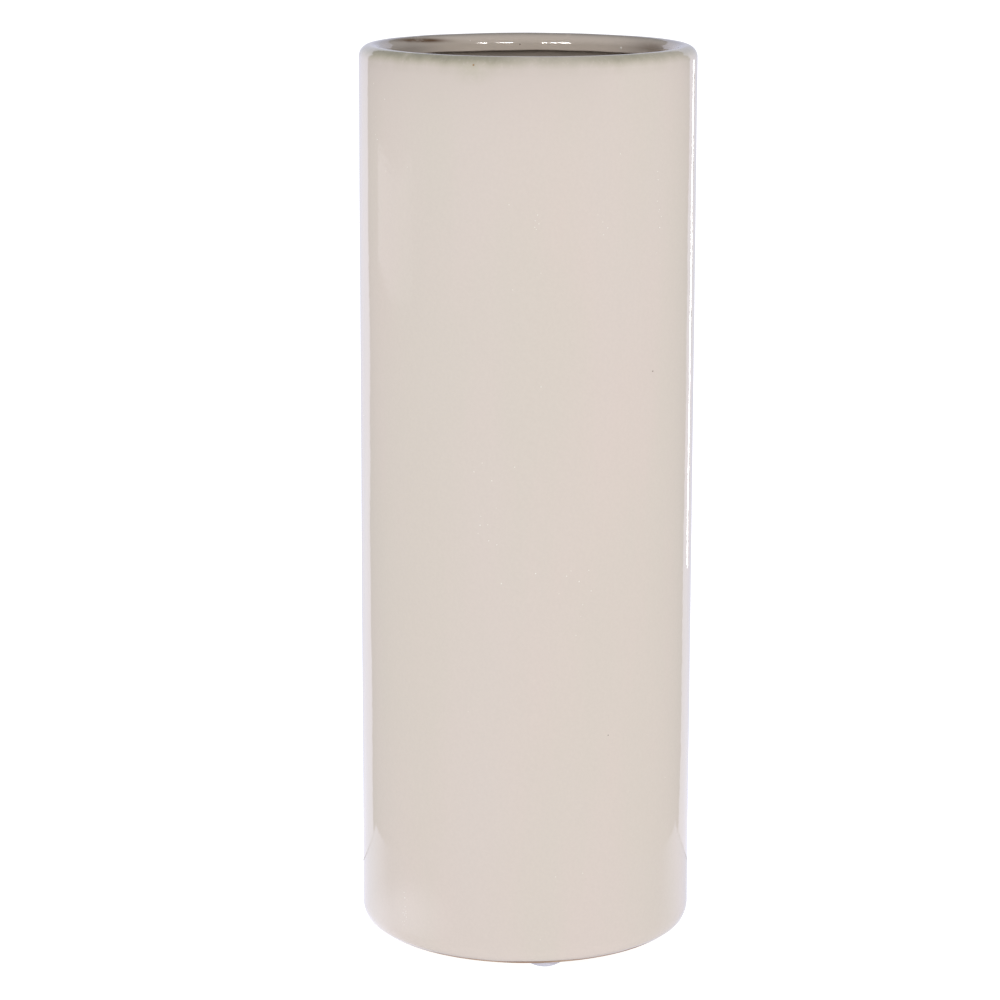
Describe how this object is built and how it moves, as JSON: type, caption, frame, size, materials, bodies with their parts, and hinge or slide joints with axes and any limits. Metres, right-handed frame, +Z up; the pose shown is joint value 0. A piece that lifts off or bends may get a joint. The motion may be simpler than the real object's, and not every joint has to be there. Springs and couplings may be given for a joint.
{
  "type": "cylinder vase",
  "caption": "Tall straight glazed stoneware vase with a rounded lip that turns inwards, a recessed foot and clear stick-on bumpers under it.",
  "frame": {"origin": "centre of the underside, on the surface that the bumpers stand on", "axes": "+Z up along the vase's axis, -Y towards the front, +X to the right seen from the front"},
  "size_m": [0.13, 0.13, 0.3535],
  "materials": {
    "bare_stoneware": "matt",
    "outside_glaze": "gloss",
    "inside_glaze": "gloss",
    "base_glaze": "gloss",
    "clear_bumper": "clear",
    "adhesive": "clear"
  },
  "bodies": {
    "root": {"stoneware_body": "bare_stoneware", "outside_glaze": "outside_glaze", "inside_glaze": "inside_glaze", "base_glaze": "base_glaze", "bumper_1": "clear_bumper", "bumper_adhesive_1": "adhesive", "bumper_2": "clear_bumper", "bumper_adhesive_2": "adhesive", "bumper_3": "clear_bumper", "bumper_adhesive_3": "adhesive", "bumper_4": "clear_bumper", "bumper_adhesive_4": "adhesive"}
  },
  "joints": []
}
